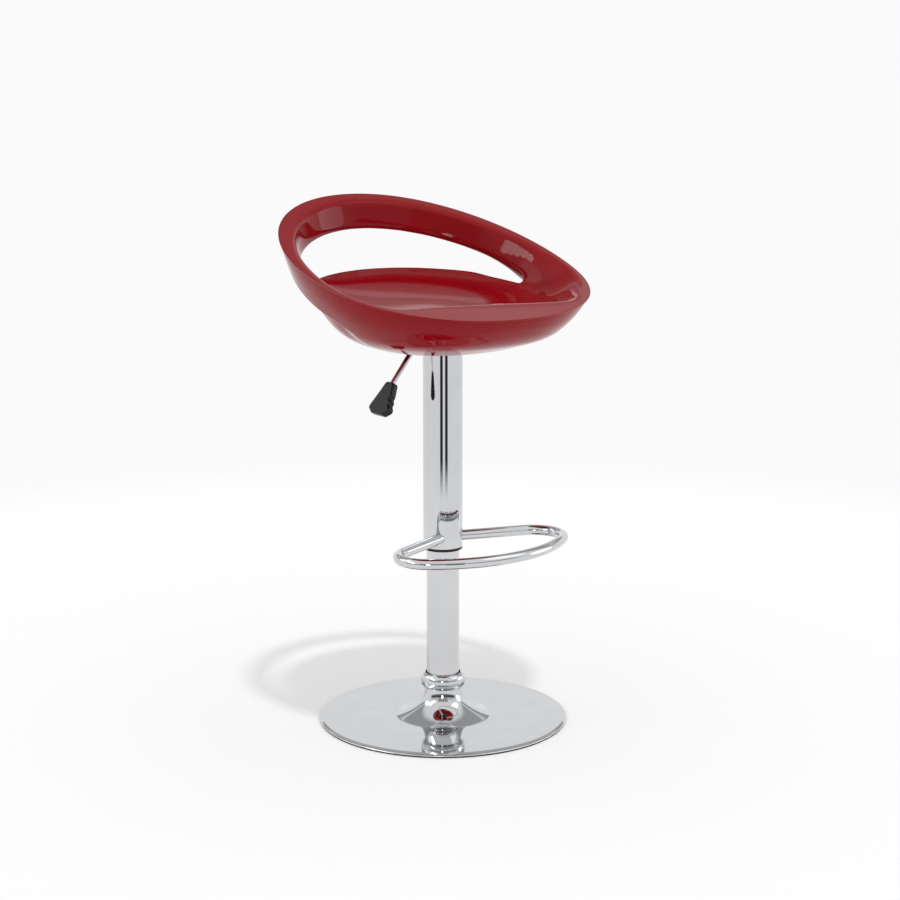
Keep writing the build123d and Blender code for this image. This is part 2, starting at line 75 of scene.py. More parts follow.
# Materials
def material(
    name,
    colour,
    other,
    roughness,
    scale,
    spread,
    metallic=0.0,
    bump=0.0,
    bump_scale=0.0,
    gloss=0.5,
):
    # Two close colours and a roughness that vary with noise, and a fine grain where bump is set.
    noise_detail, colour_range, spread_range, grain_depth = 5.0, (0.35, 0.65), (0.3, 0.7), 0.0005
    made = bpy.data.materials.new(name)
    made.use_nodes = True
    nodes, links = made.node_tree.nodes, made.node_tree.links
    shader = nodes["Principled BSDF"]
    shader.inputs["Metallic"].default_value = metallic
    shader.inputs["Specular IOR Level"].default_value = gloss
    place = nodes.new("ShaderNodeTexCoord")
    noise = nodes.new("ShaderNodeTexNoise")
    noise.inputs["Scale"].default_value = scale
    noise.inputs["Detail"].default_value = noise_detail
    links.new(place.outputs["Object"], noise.inputs["Vector"])
    ramp = nodes.new("ShaderNodeValToRGB")
    for element, position, shade in zip(ramp.color_ramp.elements, colour_range, (colour, other)):
        element.position = position
        element.color = (*shade, 1.0)
    links.new(noise.outputs["Fac"], ramp.inputs["Fac"])
    links.new(ramp.outputs["Color"], shader.inputs["Base Color"])
    spread_map = nodes.new("ShaderNodeMapRange")
    spread_map.inputs["From Min"].default_value = spread_range[0]
    spread_map.inputs["From Max"].default_value = spread_range[1]
    spread_map.inputs["To Min"].default_value = roughness - spread
    spread_map.inputs["To Max"].default_value = roughness + spread
    links.new(noise.outputs["Fac"], spread_map.inputs["Value"])
    links.new(spread_map.outputs["Result"], shader.inputs["Roughness"])
    if bump:
        grain = nodes.new("ShaderNodeTexNoise")
        grain.inputs["Scale"].default_value = bump_scale
        links.new(place.outputs["Object"], grain.inputs["Vector"])
        relief = nodes.new("ShaderNodeBump")
        relief.inputs["Strength"].default_value = bump
        relief.inputs["Distance"].default_value = grain_depth
        links.new(grain.outputs["Fac"], relief.inputs["Height"])
        links.new(relief.outputs["Normal"], shader.inputs["Normal"])
    return made


looks = {
    "red_shell": material(
        "red_gloss_plastic",
        (0.235, 0.0022, 0.0055),
        (0.250, 0.0026, 0.0065),
        roughness=0.06,
        scale=18.0,
        spread=0.012,
        gloss=0.16,
    ),
    "chrome": material(
        "chrome_plate",
        (0.60, 0.61, 0.625),
        (0.63, 0.64, 0.655),
        roughness=0.04,
        metallic=1.0,
        scale=25.0,
        spread=0.012,
    ),
    "steel": material(
        "bare_steel",
        (0.42, 0.42, 0.43),
        (0.50, 0.50, 0.51),
        roughness=0.32,
        metallic=1.0,
        scale=220.0,
        spread=0.06,
    ),
    "black_steel": material(
        "black_steel",
        (0.018, 0.018, 0.019),
        (0.030, 0.030, 0.031),
        roughness=0.42,
        scale=90.0,
        bump=0.12,
        bump_scale=900.0,
        spread=0.06,
    ),
    "iron": material(
        "cast_iron",
        (0.055, 0.054, 0.052),
        (0.090, 0.086, 0.082),
        roughness=0.62,
        metallic=0.6,
        scale=120.0,
        bump=0.5,
        bump_scale=500.0,
        spread=0.08,
    ),
    "black_plastic": material(
        "black_plastic",
        (0.010, 0.009, 0.010),
        (0.016, 0.015, 0.016),
        roughness=0.36,
        scale=140.0,
        bump=0.10,
        bump_scale=1400.0,
        spread=0.05,
        gloss=0.25,
    ),
    "rubber": material(
        "black_rubber",
        (0.010, 0.010, 0.010),
        (0.016, 0.016, 0.016),
        roughness=0.62,
        scale=160.0,
        bump=0.2,
        bump_scale=1200.0,
        spread=0.06,
    ),
    "brass": material(
        "brass",
        (0.55, 0.40, 0.16),
        (0.66, 0.49, 0.21),
        roughness=0.28,
        metallic=1.0,
        scale=150.0,
        spread=0.06,
    ),
}
for part in frame["record"]["subparts"]:
    node = frame["nodes"][part["node"]]
    node.data.materials.clear()
    node.data.materials.append(looks[part["material_slot"]])


# Mesh helpers
def piece(name, points, faces, slot, body, nodes, sharp=35.0, levels=0):
    mesh = bpy.data.meshes.new(name)
    mesh.from_pydata([tuple(MM * c for c in p) for p in points], [], faces)
    mesh.validate()
    work = bmesh.new()
    work.from_mesh(mesh)
    bmesh.ops.recalc_face_normals(work, faces=work.faces)
    work.to_mesh(mesh)
    work.free()
    mesh.shade_smooth()
    if sharp:
        mesh.set_sharp_from_angle(angle=math.radians(sharp))
    made = bpy.data.objects.new(name, mesh)
    bpy.context.scene.collection.objects.link(made)
    mesh.materials.append(looks[slot])
    if levels:
        smooth = made.modifiers.new("smooth", "SUBSURF")
        smooth.levels = levels
        smooth.render_levels = levels
    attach(made, body)
    if nodes:
        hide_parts(*nodes)
    return made


def grid_faces(rows, columns, wrap_rows=False):
    faces = []
    for i in range(rows if wrap_rows else rows - 1):
        for j in range(columns):
            k = (j + 1) % columns
            n = (i + 1) % rows
            faces.append((i * columns + j, i * columns + k, n * columns + k, n * columns + j))
    return faces


def lathe(name, profile, slot, body, nodes, segments=160):
    points = []
    for radius, height in profile:
        for j in range(segments):
            angle = 2 * math.pi * j / segments
            points.append((radius * math.cos(angle), radius * math.sin(angle), height))
    return piece(name, points, grid_faces(len(profile), segments, True), slot, body, nodes)


def smooth_curve(points, count):
    # Natural cubic spline through the points, by chord length.
    points = np.asarray(points, float)
    s = np.r_[0.0, np.cumsum(np.linalg.norm(np.diff(points, axis=0), axis=1))]
    h = np.diff(s)
    size = len(s)
    matrix = np.eye(size)
    right = np.zeros_like(points)
    for i in range(1, size - 1):
        matrix[i, i - 1 : i + 2] = (h[i - 1], 2 * (h[i - 1] + h[i]), h[i])
        right[i] = 6 * ((points[i + 1] - points[i]) / h[i] - (points[i] - points[i - 1]) / h[i - 1])
    bend = np.linalg.solve(matrix, right)
    t = np.linspace(0.0, s[-1], count)
    i = np.clip(np.searchsorted(s, t) - 1, 0, size - 2)
    a = ((s[i + 1] - t) / h[i])[:, None]
    b = ((t - s[i]) / h[i])[:, None]
    step = (h[i] ** 2 / 6)[:, None]
    return a * points[i] + b * points[i + 1] + ((a**3 - a) * bend[i] + (b**3 - b) * bend[i + 1]) * step


def tube(name, path, radius, slot, body, nodes, segments=40):
    # A round bar along a path that starts level, with closed ends.
    path = np.asarray(path, float)
    along = np.gradient(path, axis=0)
    along /= np.linalg.norm(along, axis=1)[:, None]
    side = np.cross(along[0], (0.0, 0.0, 1.0))
    points = []
    for p, d in zip(path, along):
        side = side - d * side.dot(d)
        side /= np.linalg.norm(side)
        up = np.cross(side, d)
        for j in range(segments):
            angle = 2 * math.pi * j / segments
            points.append(tuple(p + radius * (math.cos(angle) * side + math.sin(angle) * up)))
    faces = grid_faces(len(path), segments)
    last = (len(path) - 1) * segments
    faces.append(tuple(range(segments)))
    faces.append(tuple(range(last, last + segments)))
    return piece(name, points, faces, slot, body, nodes)


def size_of(node):
    # Outer radius, bottom and top of a round node, in millimetres.
    low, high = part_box(node)
    return high[0] / MM, low[2] / MM, high[2] / MM


def quarter(start, end, steps=8):
    # A quarter of an ellipse that leaves its start upwards and reaches its end level.
    points = []
    for k in range(steps + 1):
        angle = math.pi / 2 * k / steps
        across = end[0] + (start[0] - end[0]) * math.cos(angle)
        points.append((across, start[1] + (end[1] - start[1]) * math.sin(angle)))
    return points


# Base: rubber ring, pressed cover that sweeps up into the bell, and bead collar
bell_neck, bell_foot, bell_skirt = 27.1, 49.0, 46.8
sweep_rise, sweep_length, sweep_end, neck_length = 38.0, 30.0, 72.0, 2.0
sweep_steps = 48
round_segments = 256


def floor_ring():
    radius, bottom, top = size_of("floor_ring")
    width, inner_edge, outer_edge, outer_rise = 8.0, 0.4, 0.6, 0.5
    inner = radius - width
    profile = [(inner, bottom + inner_edge), (inner + inner_edge, bottom)]
    profile += [(radius - outer_edge, bottom), (radius, bottom + outer_rise)]
    profile += [(radius, top), (inner, top)]
    return lathe("floor_ring_skin", profile, "rubber", "base", ["floor_ring"])


def sweep_height(radius):
    # Height of the trumpet-shaped sweep above the flat of the disc.
    _, bottom, top = size_of("base_bell")
    run = max(0.0, radius - bell_neck)
    crease = sweep_rise * math.exp((bell_neck - sweep_end) / sweep_length)
    neck_rise = top - bottom - sweep_rise + crease
    height = sweep_rise * math.exp(-run / sweep_length) - crease + neck_rise * math.exp(-run / neck_length)
    return max(0.0, height)


def base_cover():
    radius, bottom, top = size_of("base_cover")
    sheet, roll, lip, cone, bore, hub = 1.2, 6.0, 0.9, 0.5, 12.0, 50.0
    rim, edge_in, edge_up = 9.0, 0.5, 0.4
    wall_in, wall_up, hub_in = 2.0, 1.0, 3.0
    edge, flat_end = top - cone, radius - roll
    profile = [(radius - rim, bottom), (radius - edge_in, bottom), (radius, bottom + edge_up)]
    profile += quarter((radius, bottom + lip), (flat_end, edge))
    for k in range(1, sweep_steps + 1):
        r = flat_end * (bell_foot / flat_end) ** (k / sweep_steps)
        share = (flat_end - r) / (flat_end - bell_foot)
        profile.append((r, edge + cone * share + sweep_height(r)))
    profile += [(bell_foot - wall_in, top + wall_up), (bell_foot - hub_in, top)]
    profile += [(bore, top), (bore, top - sheet), (hub, top - sheet), (flat_end, edge - sheet)]
    return lathe("base_cover_skin", profile, "chrome", "base", ["base_cover"], round_segments)


def base_bell():
    _, bottom, top = size_of("base_bell")
    wall, foot_drop, inner_rise, spacing = 1.5, 1.0, 8.0, 1.8
    foot = bottom + sweep_height(bell_foot)
    profile = [(bell_skirt - wall, bottom), (bell_skirt, bottom), (bell_skirt, foot - foot_drop)]
    for k in range(sweep_steps + 1):
        r = bell_foot + (bell_neck - bell_foot) * (1 - (1 - k / sweep_steps) ** spacing)
        profile.append((r, bottom + sweep_height(r)))
    profile += [(bell_neck - wall, top), (bell_neck - wall, foot + inner_rise)]
    profile.append((bell_skirt - wall, foot - 2 * wall))
    return lathe("base_bell_skin", profile, "chrome", "base", ["base_bell"], round_segments)


def base_collar():
    bulge, bottom, top = size_of("base_collar")
    bore, groove, lip_out, lip_in = 25.3, 26.5, 27.4, 26.8
    lip_drop, groove_top, groove_bottom, groove_end = 0.3, 1.0, 12.0, 13.0
    height = top - bottom
    # How far out and how far up the bead's outline runs, as shares.
    shares = [(0.0, 0.0), (0.55, 0.08), (0.93, 0.28), (1.0, 0.50), (0.92, 0.72), (0.55, 0.91), (0.20, 0.99)]
    outside = [(bell_neck + (bulge - bell_neck) * out, bottom + height * up) for out, up in shares]
    curve_points = 36
    profile = [(bore, bottom), *smooth_curve(outside, curve_points).tolist()]
    profile += [(lip_out, top), (lip_in, top - lip_drop), (groove, top - groove_top)]
    profile += [(groove, top - groove_bottom), (bore, top - groove_end)]
    return lathe("base_collar_skin", profile, "chrome", "base", ["base_collar"])


floor_ring()
base_cover()
base_bell()
base_collar()


# Column: fixed tube, sliding sleeve and the bush at the sleeve's foot
def column():
    wall, tube_edge, sleeve_edge = 1.5, 0.6, 0.5
    radius, bottom, top = size_of("lower_tube")
    bore = radius - wall
    profile = [(radius, bottom), (radius, top - tube_edge), (radius - tube_edge, top)]
    profile += [(bore, top), (bore, bottom)]
    lathe("lower_tube_skin", profile, "chrome", "base", ["lower_tube"])
    radius, bottom, top = size_of("sleeve")
    bore = radius - wall
    profile = [(bore, bottom), (radius - sleeve_edge, bottom), (radius, bottom + sleeve_edge)]
    profile += [(radius, top), (bore, top)]
    lathe("sleeve_skin", profile, "chrome", "lift", ["sleeve"])
    flange, low, high = size_of("sleeve_bush")
    bush_bore, fit_gap, flange_edge, bore_edge = 25.08, 0.02, 0.6, 0.5
    body = bore - fit_gap
    profile = [(bush_bore, low + flange_edge), (bush_bore + bore_edge, low)]
    profile += [(flange - flange_edge, low), (flange, low + flange_edge)]
    profile += [(flange, bottom), (body, bottom), (body, high), (bush_bore, high)]
    lathe("sleeve_bush_skin", profile, "black_plastic", "lift", ["sleeve_bush"])


column()


# Footrest: straight bars, bends and a front arc, as one bent tube
def footrest():
    low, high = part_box("footrest")
    level = (low[2] + high[2]) / 2 / MM
    radius = (high[2] - low[2]) / 2 / MM
    half_width, corner_reach, front_reach = 175.9, 76.3, 173.8
    bar_reach, bar_offset, bend_radius = 11.0, 15.0, 43.8
    steps = 24
    # The front arc runs through both corners and the foremost point.
    centre = (front_reach**2 - half_width**2 - corner_reach**2) / (2 * (front_reach - corner_reach))
    arc_radius = front_reach - centre
    arc_centre, bar_root = Vector((0.0, centre)), Vector((0.0, bar_reach))
    way = Vector((half_width, corner_reach - bar_reach)).normalized()
    side = Vector((-way.y, way.x))
    line = bar_root + side * bend_radius
    gap = line - arc_centre
    along = gap.dot(way)
    bend_at = line + way * (math.sqrt(along**2 - gap.dot(gap) + (arc_radius - bend_radius) ** 2) - along)
    outward = (bend_at - arc_centre).normalized()
    bar_end = bend_at - side * bend_radius
    bar_start = bar_root + way * (bar_offset / way.x)
    first = math.atan2(-side.y, -side.x)
    last = math.atan2(outward.y, outward.x)
    path = [bar_start.lerp(bar_end, k / steps) for k in range(steps)]
    for k in range(steps):
        angle = first + (last - first) * k / steps
        path.append(bend_at + Vector((math.cos(angle), math.sin(angle))) * bend_radius)
    for k in range(steps + 1):
        angle = last + (math.pi / 2 - last) * k / steps
        path.append(arc_centre + Vector((math.cos(angle), math.sin(angle))) * arc_radius)
    right = [(p.x, -p.y, level) for p in path]
    left = [(-p.x, -p.y, level) for p in reversed(path[:-1])]
    return tube("footrest_skin", right + left, radius, "chrome", "lift", ["footrest"])


footrest()

# Release lever: bent rod with its hub, and the paddle handle
pivot_x, pivot_z = -30.0, 584.0
rod_inner, rod_radius, rod_end_x, rod_drop = 8.0, 4.0, -99.8, 60.2
elbow_x, elbow_radius = -50.4, 12.0
handle_x, handle_drop, handle_lean = -93.8, 52.6, 30.3


def lever_rod():
    straight_steps, bend_steps, segments = 8, 12, 32
    elbow = Vector((elbow_x, pivot_z))
    rod_end = Vector((rod_end_x, pivot_z - rod_drop))
    slope = (rod_end - elbow).normalized()
    half_turn = math.acos(-slope.x) / 2
    cut = elbow_radius * math.tan(half_turn)
    bend_x = elbow.x + cut
    bend_middle = Vector((bend_x, pivot_z - elbow_radius))
    bend_end = elbow + slope * cut
    path = []
    for k in range(straight_steps):
        path.append(Vector((rod_inner + (bend_x - rod_inner) * k / straight_steps, pivot_z)))
    for k in range(bend_steps + 1):
        angle = math.pi / 2 + 2 * half_turn * k / bend_steps
        path.append(bend_middle + Vector((math.cos(angle), math.sin(angle))) * elbow_radius)
    path += [bend_end.lerp(rod_end, k / straight_steps) for k in range(1, straight_steps + 1)]
    points = [(p.x, 0.0, p.y) for p in path]
    return tube("lever_rod_skin", points, rod_radius, "chrome", "lever", ["lever_rod"], segments)


def lever_hub():
    radius, half_length, bore, chamfer = 6.5, 9.0, 2.6, 0.3
    segments = 48
    profile = [(bore, -half_length), (radius - chamfer, -half_length), (radius, chamfer - half_length)]
    profile += [(radius, half_length - chamfer), (radius - chamfer, half_length), (bore, half_length)]
    points = []
    for r, y in profile:
        for j in range(segments):
            angle = 2 * math.pi * j / segments
            points.append((pivot_x + r * math.cos(angle), y, pivot_z + r * math.sin(angle)))
    return piece("lever_hub_skin", points, grid_faces(len(profile), segments, True), "steel", "lever", [])


def rounded_outline(corners, radius, spacing):
    # A closed outline with arcs at its corners and evenly spaced points on its straight sides.
    arc_steps = 6
    points = []
    count = len(corners)
    for n in range(count):
        before, here, after = (Vector(corners[(n + d) % count]) for d in (-1, 0, 1))
        inward, onward = (before - here).normalized(), (after - here).normalized()
        opening = math.acos(inward.dot(onward))
        cut = radius / math.tan(opening / 2)
        middle = here + (inward + onward).normalized() * radius / math.sin(opening / 2)
        start, end = here + inward * cut - middle, here + onward * cut - middle
        for k in range(arc_steps + 1):
            points.append(middle + start.lerp(end, k / arc_steps).normalized() * radius)
        following = Vector(corners[(n + 2) % count])
        next_opening = math.acos((here - after).normalized().dot((following - after).normalized()))
        last = after - onward * radius / math.tan(next_opening / 2)
        first = here + onward * cut
        pieces = max(1, int((last - first).length / spacing))
        points += [first.lerp(last, k / pieces) for k in range(1, pieces)]
    return points


def handle():
    lean = math.radians(handle_lean)
    down = Vector((-math.sin(lean), 0.0, -math.cos(lean)))
    across = Vector((0.0, -1.0, 0.0))
    outer = across.cross(down)
    top = Vector((handle_x, 0.0, pivot_z - handle_drop))
    top_half, bottom_half, shoulder, tip_half, length = 8.0, 24.0, 44.0, 13.0, 51.5
    corner_radius, spacing = 4.5, 1.2
    half_thick, edge, edge_steps, crown_in, crown_up = 6.0, 2.4, 4, 9.0, 0.5
    grip_depth, grip_half, grips, side_reach = 2.0, 4.5, (24.5, 34.5), 0.5
    middle_share, most_in = 0.55, 0.8
    right = [(top_half, 0), (bottom_half, shoulder), (tip_half, length)]
    left = [(-x, y) for x, y in reversed(right)]
    outline = rounded_outline([left[-1], *right, *left[:-1]], corner_radius, spacing)
    flare = (bottom_half - top_half) / shoulder
    # Finger grips in one edge.
    for p in outline:
        for grip in grips:
            if abs(p.x - top_half - flare * p.y) < side_reach:
                p.x -= grip_depth * max(0.0, 1 - ((p.y - grip) / grip_half) ** 2)
    middle = Vector((0.0, middle_share * length))
    rings = []
    for k in range(edge_steps + 1):
        turn = math.pi / 2 * k / edge_steps
        rings.append((edge * (1 - math.cos(turn)), half_thick - edge + edge * math.sin(turn)))
    rings.append((crown_in, half_thick + crown_up))
    rings = [(inset, -height) for inset, height in reversed(rings)] + rings
    points = []
    for inset, height in rings:
        for p in outline:
            way = middle - p
            q = p + way * min(most_in, inset / way.length)
            points.append(tuple(top + across * q.x + down * q.y + outer * height))
    count = len(outline)
    faces = grid_faces(len(rings), count)
    faces.append(tuple(range(count)))
    faces.append(tuple(range((len(rings) - 1) * count, len(rings) * count)))
    return piece("lever_handle_skin", points, faces, "black_plastic", "lever", ["lever_handle"], sharp=50)


lever_rod()
lever_hub()
handle()

# Seat: one quad cage over both shells, smoothed by subdivision
seat_level = 574.5
rim_half, rim_front, rim_back = 233.7, 193.0, 243.5
front_rise, back_rise, rim_sag = 64.3, 215.5, 11.7
hoop_depth = 46.0
window_floor, window_slope, window_margin = 77.5, 0.10, 10.0
ridge_reach, ridge_tilt, ridge_left, ridge_right, blend_width = 128.0, 0.115, -105.0, 125.0, 4.0
tilt_fade = 60.0
columns = 96
window_first, window_last = 25, 71
column_hub, full_hub_share = -30.0, 0.8
row_samples, curve_samples = 2881, 600
# Depths below the rim, at the front, of the hoop's lower edge and the pan's upper edge.
band_out, band_in, pan_band_out, pan_band_in = 17.0, 4.0, 27.0, 8.0
# How much deeper the pan's edge lies than the hoop's just ahead of the window.
pan_gap_out, pan_gap_in = 2.8, 7.3
# Columns over which the seam steps in, and over which it rises to the hoop's edge, and by how much.
step_columns, low_columns, front_columns = (20.0, 21.6), (25.0, 33.0), (20.0, 22.0)
low_depth, front_depth, step_in, step_lift = 13.5, 9.0, 6.5, 60.0
step_rows = (("pan_out", 1.0), ("pan_out_low", 1.0), ("bowl_0", 0.8), ("bowl_1", 0.4))
# Columns over which the hoop's inner lower edge moves outwards, and by how much.
flare_columns, hoop_flare = (20.0, 28.0), 2.5
# Runs down from the rim to the fine groove between the shells.
edge_run, groove_start, groove_middle, groove_end, groove_depth = 1.0, 2.4, 2.9, 3.4, 0.9
inner_fillet, outer_fillet, recess_edge = 6.0, 4.0, 86.0
dish_shares = (1.0, 0.78, 0.58, 0.40, 0.24, 0.11)
bowl_shares = (0.16, 0.34, 0.54, 0.76, 0.97)
# Each row: half width, front reach, back reach, centre, front rise, back rise, front and back squareness.
# Widths, reaches and rises are shares of the rim's, and the centre is in millimetres.
bowl_rows = [
    (1.000, 1.000, 1.000, -15.5, 1.000, 1.000, 2.2, 2.05),
    (0.982, 0.979, 0.961, -15.5, 0.900, 0.840, 2.2, 2.05),
    (0.937, 0.943, 0.895, -13.0, 0.740, 0.626, 2.2, 2.05),
    (0.834, 0.886, 0.731, -4.0, 0.555, 0.360, 2.2, 2.05),
    (0.693, 0.788, 0.571, 6.5, 0.327, 0.137, 2.2, 2.05),
    (0.552, 0.632, 0.423, 9.5, 0.178, 0.052, 2.2, 2.05),
    (0.450, 0.520, 0.342, 9.5, 0.072, 0.021, 2.2, 2.05),
    (0.340, 0.405, 0.253, 9.5, 0.012, 0.004, 2.2, 2.05),
]
dish_rows = [
    (0.830, 0.610, 0.860, -46.0, 1.060, 0.640, 3.2, 1.88),
    (0.790, 0.570, 0.800, -40.0, 0.985, 0.480, 3.0, 1.95),
    (0.720, 0.510, 0.690, -33.0, 0.910, 0.390, 2.8, 2.00),
    (0.612, 0.415, 0.554, -27.0, 0.830, 0.335, 2.6, 2.05),
    (0.450, 0.318, 0.410, -22.0, 0.725, 0.293, 2.4, 2.05),
    (0.280, 0.200, 0.260, -16.0, 0.670, 0.265, 2.2, 2.05),
    (0.120, 0.075, 0.120, -10.0, 0.715, 0.245, 2.2, 2.05),
]
# Share of the front ridge's tilt that each row of the dish follows.
tilt_shares = (0.95, 0.85, 0.70, 0.50, 0.30, 0.10, 0.00)
# Width of the rim's top face by the angle from the front, apart from the wide lip in front.
rim_width_angles = (-180.0, -140.0, -118.0, -100.0, -90.0, -83.0, -76.0, -66.0, 36.0, 44.0, 54.0, 66.0)
rim_width_angles += (76.0, 83.0, 90.0, 100.0, 118.0, 140.0, 180.0)
rim_widths = (23.0, 25.5, 26.0, 22.5, 19.0, 15.0, 11.0, 6.0, 6.0, 15.0, 19.0, 11.0)
rim_widths += (11.0, 15.0, 19.0, 22.5, 26.0, 25.5, 23.0)


def ease(value, low, high):
    share = np.clip((value - low) / (high - low), 0.0, 1.0)
    return share * share * (3 - 2 * share)


def rim_height(reach):
    share = (rim_front - reach) / (rim_front + rim_back)
    return seat_level + front_rise + (back_rise - front_rise) * share - 4 * rim_sag * share * (1 - share)


def pan_height(reach):
    return seat_level + window_floor - window_slope * reach


def row_loop(row):
    # One closed row of the seat, sampled where the columns cross it.
    half, front, back, centre, low_front, low_back, front_power, back_power = row
    half, front, back = half * rim_half, front * rim_front, back * rim_back
    t = np.linspace(-math.pi, math.pi, row_samples)
    ahead, aside = np.cos(t), np.sin(t)
    power = np.where(ahead > 0, front_power, back_power)
    length = np.where(ahead > 0, front - centre, back + centre)
    reach = centre + length * np.sign(ahead) * np.abs(ahead) ** (2 / power)
    x = half * np.sign(aside) * np.abs(aside) ** (2 / power)
    hub = (front - back) / 2
    hub += (column_hub - hub) * min(1.0, half / (full_hub_share * rim_half))
    angle = np.unwrap(np.arctan2(x, reach - hub))
    want = 2 * math.pi * np.arange(columns) / columns
    want = np.where(want > math.pi, want - 2 * math.pi, want)
    x, reach = np.interp(want, angle, x), np.interp(want, angle, reach)
    low, high = seat_level + low_front * front_rise, seat_level + low_back * back_rise
    flat = low + (high - low) * (front - reach) / (front + back)
    z = rim_height(reach) if low_front == low_back else flat
    return np.stack([x, -reach, z], axis=-1)


def evened(values):
    # Rounds off the kinks between neighbouring columns.
    rounds = 3
    for _ in range(rounds):
        values = (np.roll(values, 1) + 2 * values + np.roll(values, -1)) / 4
    return values


column_angles = 360.0 * np.arange(columns) / columns
column_angles = np.where(column_angles > 180.0, column_angles - 360.0, column_angles)
column_widths = evened(np.interp(column_angles, rim_width_angles, rim_widths))


def tilt_at(x):
    return ridge_tilt * np.clip(x, ridge_left, ridge_right)


def ridge_loop(rim):
    # Inner edge of the rim's top face: a nearly straight ridge across the front, a narrow band all round.
    least_ahead, rounds = 0.2, 8
    widths = []
    for k, (x, y, _) in enumerate(rim):
        length = math.hypot(x, y + column_hub)
        ahead = max(least_ahead, math.cos(math.radians(column_angles[k])))
        aside = math.sin(math.radians(column_angles[k]))
        ridge = length
        for _ in range(rounds):
            ridge = (ridge_reach + tilt_at(ridge * aside) - column_hub) / ahead
        both = np.array([column_widths[k], length - ridge]) / blend_width
        widths.append(blend_width * np.logaddexp(*both))
    points = []
    for (x, y, _), width in zip(rim, evened(np.array(widths))):
        share = 1 - width / math.hypot(x, y + column_hub)
        y = (y + column_hub) * share - column_hub
        points.append((x * share, y, rim_height(-y)))
    return np.array(points)


def dish_loop(row, share):
    loop = row_loop(row)
    loop[:, 1] -= share * tilt_at(loop[:, 0]) * ease(-loop[:, 1], -tilt_fade, tilt_fade)
    return loop


class Profile:
    # A smooth curve through one column of rows, met by its run from the rim or by its height.
    def __init__(self, points):
        self.curve = smooth_curve(points, curve_samples)
        steps = np.linalg.norm(np.diff(self.curve, axis=0), axis=1)
        self.run = np.r_[0.0, np.cumsum(steps)]

    def at(self, run):
        return np.array([np.interp(run, self.run, self.curve[:, c]) for c in range(3)])

    def down_to(self, height):
        return self.run[np.argmax(self.curve[:, 2] < height)]

    def in_to(self, radius):
        return self.run[np.argmax(np.hypot(self.curve[:, 0], self.curve[:, 1]) < radius)]


def pull_in(rows, name, distance, lift):
    x, y, _ = rows[name]
    aim = np.array([-x, -column_hub - y, lift])
    rows[name] = rows[name] + distance * aim / np.linalg.norm(aim)


def seat_column(k, outer, inner):
    outside, inside = Profile(outer[:, k]), Profile(inner[:, k])
    side_full, soft_most, soft_share, corner_share = 0.9, 7.0, 0.3, 0.2
    round_front, round_more, round_share = 4.0, 8.0, 0.3
    wall_share, low_share, top_share, band_share = 0.5, 0.25, 0.62, 0.45
    edge_width, edge_share, hoop_round, hoop_sharper = 1.3, 0.2, 6.0, 4.0
    around = min(k, columns - k)
    side = ease(around / window_first, 0.0, side_full)
    step = ease(around, *step_columns)
    deeper = low_depth * (1.0 - ease(around, *low_columns))
    deeper += front_depth * (1.0 - ease(around, *front_columns))
    rim_out, rim_in = outside.curve[0], inside.curve[0]
    # Runs from the rim to the lower edge of the hoop and to the upper edge of the pan.
    hoop_out = outside.down_to(rim_out[2] - band_out - (hoop_depth + deeper - band_out) * side)
    hoop_in = inside.down_to(rim_in[2] - band_in - (hoop_depth - band_in) * side)
    if window_first <= k <= window_last:
        pan_out = outside.down_to(pan_height(-outside.at(hoop_out)[1] - window_margin) - deeper)
        pan_in = inside.down_to(pan_height(-inside.at(hoop_in)[1] - window_margin))
    else:
        out_depth = pan_band_out + (hoop_depth + deeper + pan_gap_out - pan_band_out) * side
        in_depth = pan_band_in + (hoop_depth + pan_gap_in - pan_band_in) * side
        pan_out = outside.down_to(rim_out[2] - out_depth)
        pan_in = inside.down_to(rim_in[2] - in_depth)
    across = rim_out - rim_in
    width = np.linalg.norm(across)
    soft = min(soft_most, soft_share * width)
    round_edge = round_front + round_more * side
    rows = {}
    dish_start = pan_in + inner_fillet
    for n, share in enumerate(dish_shares):
        rows["dish_%d" % n] = inside.at(dish_start + (inside.run[-1] - dish_start) * share)
    rows["pan_in_low"] = inside.at(dish_start)
    rows["pan_in"] = inside.at(pan_in)
    rows["hoop_in"] = inside.at(hoop_in)
    rows["hoop_in_high"] = inside.at(hoop_in - min(round_edge, round_share * hoop_in))
    pull_in(rows, "hoop_in", -hoop_flare * ease(around, *flare_columns), 0.0)
    rows["wall"] = inside.at(wall_share * hoop_in)
    rows["corner_low"] = inside.at(min(soft, low_share * hoop_in))
    rows["corner"] = rim_in - np.array([0.0, 0.0, corner_share * soft])
    rows["corner_high"] = rim_in + across * soft / width
    rows["top"] = rim_in + across * top_share
    rows["edge_in"] = rim_out - across * min(edge_share, edge_width / width)
    rows["edge"] = rim_out
    rows["edge_low"] = outside.at(edge_run)
    rows["groove_high"] = outside.at(groove_start)
    rows["groove"] = outside.at(groove_middle)
    rows["groove_low"] = outside.at(groove_end)
    rows["band"] = outside.at(groove_end + band_share * (hoop_out - groove_end))
    rows["hoop_out_high"] = outside.at(hoop_out - hoop_round + hoop_sharper * step)
    rows["hoop_out"] = outside.at(hoop_out)
    rows["pan_out"] = outside.at(pan_out)
    bowl_start = pan_out + outer_fillet
    rows["pan_out_low"] = outside.at(bowl_start)
    for n, share in enumerate(bowl_shares):
        rows["bowl_%d" % n] = outside.at(bowl_start + (outside.in_to(recess_edge) - bowl_start) * share)
    pull_in(rows, "groove", groove_depth, 0.0)
    for name, share in step_rows:
        pull_in(rows, name, step_in * step * share, step_lift)
    return rows


